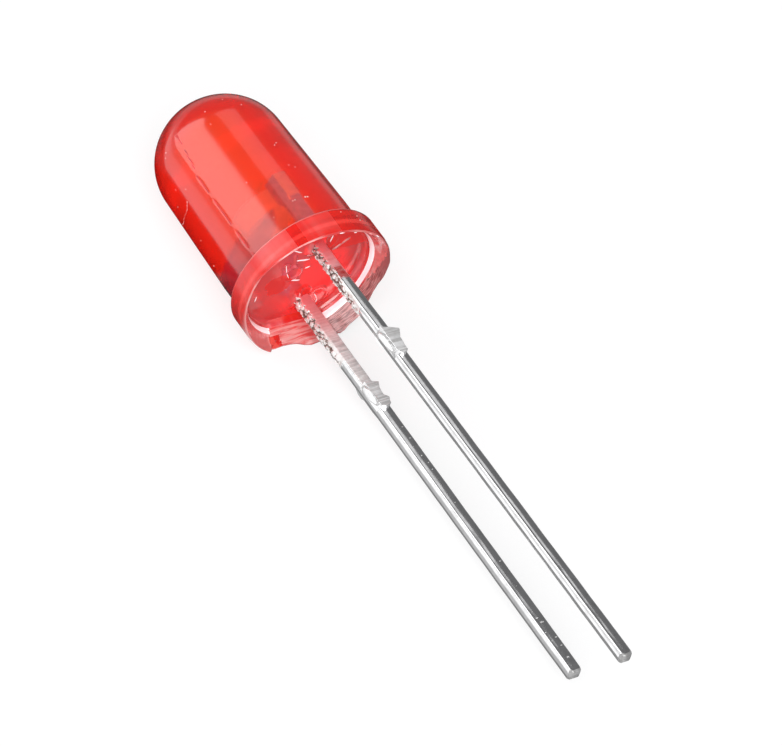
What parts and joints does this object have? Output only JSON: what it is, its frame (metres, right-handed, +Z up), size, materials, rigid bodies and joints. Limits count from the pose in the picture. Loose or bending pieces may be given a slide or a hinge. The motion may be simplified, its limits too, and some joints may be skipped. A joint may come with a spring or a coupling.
{
  "type": "through hole led",
  "caption": "Round red through hole LED with a domed clear lens, a flange with a flat and a hollow under it, and tinned square leads with stand-off lugs.",
  "frame": {"origin": "on the lens axis, in the plane of the flange's lower rim", "axes": "+X from the lens towards the lead tips, +Z up from the cathode to the anode, so that the flat of the flange lies on the ground"},
  "size_m": [0.027, 0.0056, 0.0053],
  "materials": {
    "tinted_epoxy": "gloss",
    "tinned_steel": "polished",
    "die_semiconductor": "satin",
    "silver_paste": "satin",
    "gold": "polished"
  },
  "bodies": {
    "root": {"lens": "tinted_epoxy", "cathode_lead": "tinned_steel", "anode_lead": "tinned_steel", "led_die": "die_semiconductor", "die_attach": "silver_paste", "bond_wire": "gold"}
  },
  "joints": []
}
